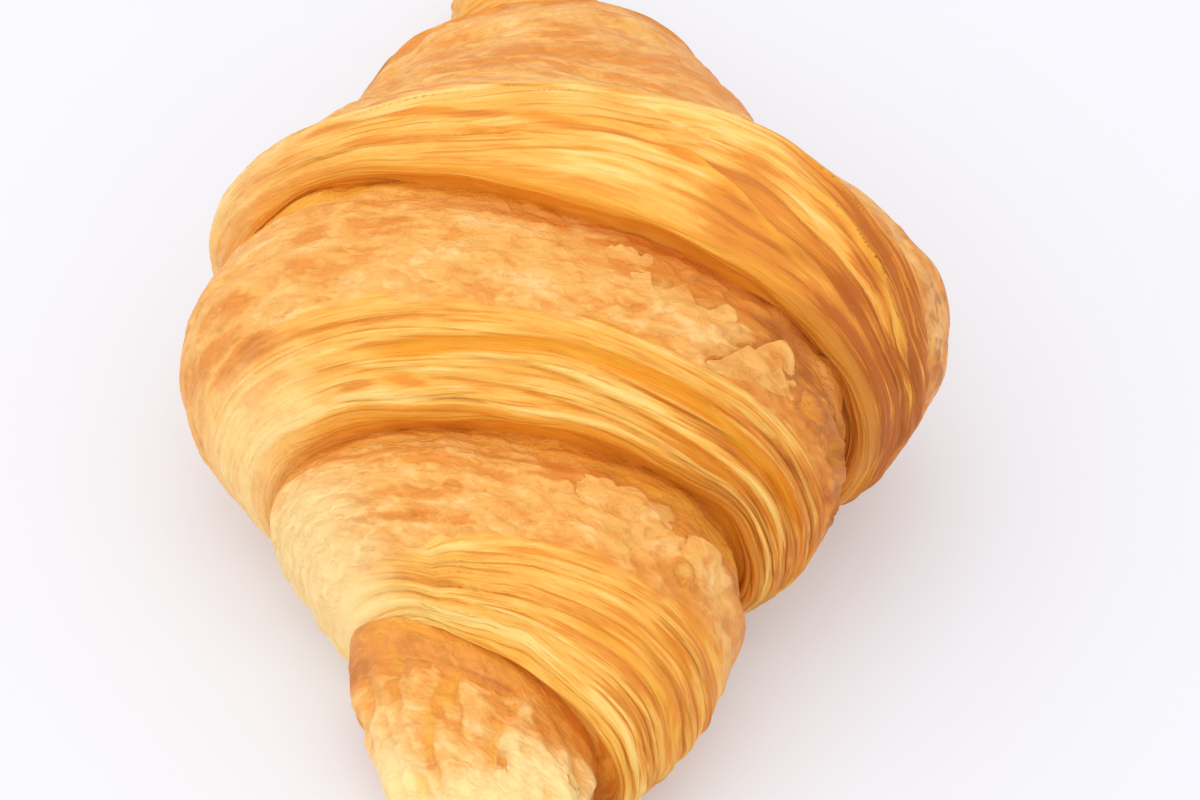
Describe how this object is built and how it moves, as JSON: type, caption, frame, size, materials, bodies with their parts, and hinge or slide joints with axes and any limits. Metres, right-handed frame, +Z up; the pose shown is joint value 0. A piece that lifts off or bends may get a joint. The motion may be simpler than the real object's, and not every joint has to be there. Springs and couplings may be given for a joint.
{
  "type": "butter croissant",
  "caption": "Baked butter croissant: a plump crescent roll of layered dough that steps down from a broad middle band to two rounded tips and rests on a flat base.",
  "frame": {"origin": "centre of the bounding box at the level of the flat base", "axes": "+Y runs from the near tip to the far tip along the roll, +X to the right side as seen from the near tip, +Z up from the base"},
  "size_m": [0.0902, 0.155, 0.0531],
  "materials": {
    "crust": "baked flaky pastry, golden with amber layer lines, slightly glossy where it was egg washed"
  },
  "bodies": {
    "root": {"croissant": "crust"}
  },
  "joints": []
}
